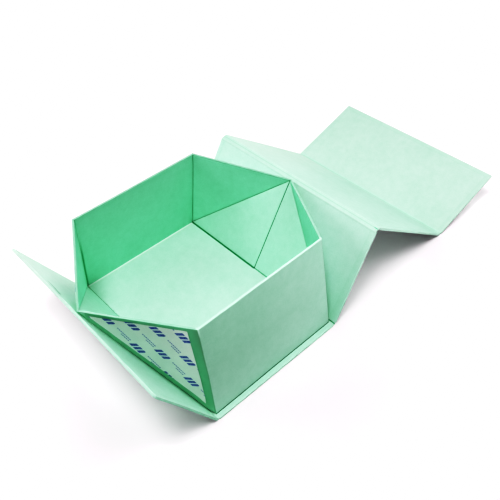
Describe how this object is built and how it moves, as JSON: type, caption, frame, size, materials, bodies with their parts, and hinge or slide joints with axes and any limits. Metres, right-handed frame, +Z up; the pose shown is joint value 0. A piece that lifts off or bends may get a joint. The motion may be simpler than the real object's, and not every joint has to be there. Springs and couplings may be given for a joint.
{
  "type": "collapsible gift box",
  "caption": "Half-erected folding gift box of paper-wrapped board: an open tray with folding gusset ends on a case with hinged front, back, lid and closing flap.",
  "frame": {"origin": "centre of the base panel's underside", "axes": "+X from the front panel to the closing flap, +Y along the hinges, +Z up"},
  "size_m": [0.4561, 0.2056, 0.1015],
  "materials": {
    "case_paper": "matt wrapped board",
    "tray_paper": "matt wrapped board",
    "hinge_paper": "matt paper",
    "tape_liner": "smooth release paper with blue marks",
    "magnet": "nickel plate",
    "steel_disc": "plain"
  },
  "bodies": {
    "base": {"base_panel": "case_paper", "tray_floor": "tray_paper", "tray_wall_near": "tray_paper", "tray_wall_far": "tray_paper", "gusset_front_near_lower": "tray_paper", "gusset_front_near_upper": "tray_paper", "gusset_front_far_lower": "tray_paper", "gusset_front_far_upper": "tray_paper", "gusset_back_near_lower": "tray_paper", "gusset_back_near_upper": "tray_paper", "gusset_back_far_lower": "tray_paper", "gusset_back_far_upper": "tray_paper", "tape_front_near": "tape_liner", "tape_front_far": "tape_liner", "tape_back_near": "tape_liner", "tape_back_far": "tape_liner", "front_hinge_paper": "hinge_paper", "back_hinge_paper": "hinge_paper"},
    "front": {"front_panel": "case_paper", "steel_disc_near": "steel_disc", "steel_disc_far": "steel_disc"},
    "back": {"back_panel": "case_paper", "ridge_hinge_paper": "hinge_paper"},
    "lid": {"lid_panel": "case_paper", "flap_hinge_paper": "hinge_paper"},
    "flap": {"closing_flap": "case_paper", "magnet_near": "magnet", "magnet_far": "magnet"}
  },
  "joints": [
    {"name": "front_panel_fold", "type": "hinge", "parent": "base", "child": "front", "pos_m": [-0.0731, 0, 0], "axis": [0, 1, 0], "range_deg": [-61, 0], "deforming": ["front_hinge_paper"]},
    {"name": "back_panel_fold", "type": "hinge", "parent": "base", "child": "back", "pos_m": [0.0731, 0, 0], "axis": [0, -1, 0], "range_deg": [-59.3, 0], "deforming": ["back_hinge_paper"]},
    {"name": "lid_fold", "type": "hinge", "parent": "back", "child": "lid", "pos_m": [0.12431, 0, 0.08624], "axis": [0, -1, 0], "range_deg": [-80, 160], "deforming": ["ridge_hinge_paper"]},
    {"name": "closing_flap_fold", "type": "hinge", "parent": "lid", "child": "flap", "pos_m": [0.244, 0, -0.0008], "axis": [0, -1, 0], "range_deg": [-54.4, 35.6], "deforming": ["flap_hinge_paper"]}
  ]
}
